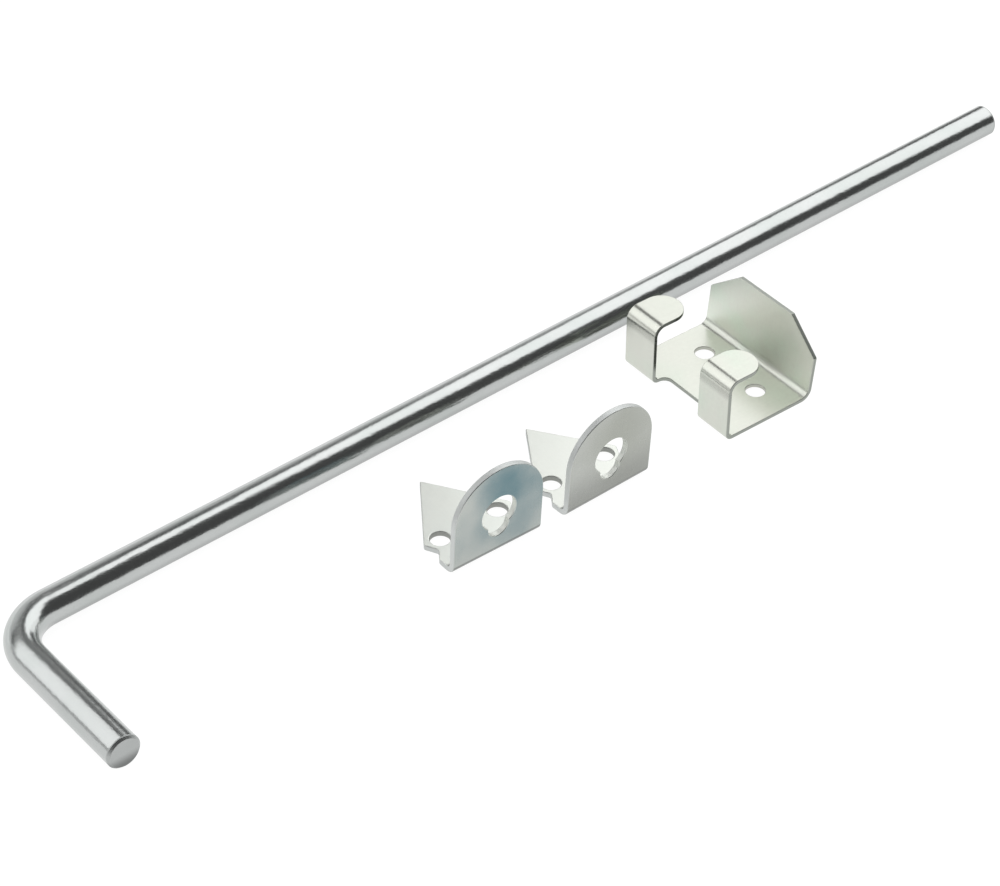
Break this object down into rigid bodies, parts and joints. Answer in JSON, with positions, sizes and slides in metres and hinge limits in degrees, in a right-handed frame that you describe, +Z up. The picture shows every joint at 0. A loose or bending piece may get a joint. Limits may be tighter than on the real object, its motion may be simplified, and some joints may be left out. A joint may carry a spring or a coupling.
{
  "type": "cane bolt",
  "caption": "Gate cane bolt set: a bent round rod, folded guides that it slides in, and a hooked holder that keeps its handle while raised.",
  "frame": {"origin": "on the ground, under the middle of the box of the laid-out set", "axes": "+Z up, +X along the rod's long arm towards its tip, -Y along the handle"},
  "size_m": [0.485, 0.0856, 0.0401],
  "materials": {
    "rod_zinc": "bright zinc plating, smooth and shiny",
    "guide_zinc": "blue-clear zinc plating, satin",
    "holder_zinc": "clear zinc plating, satin, faintly yellow-green"
  },
  "bodies": {
    "root": {"cane_rod": "rod_zinc", "lower_guide": "guide_zinc", "upper_guide": "guide_zinc", "bolt_holder": "holder_zinc"}
  },
  "joints": []
}
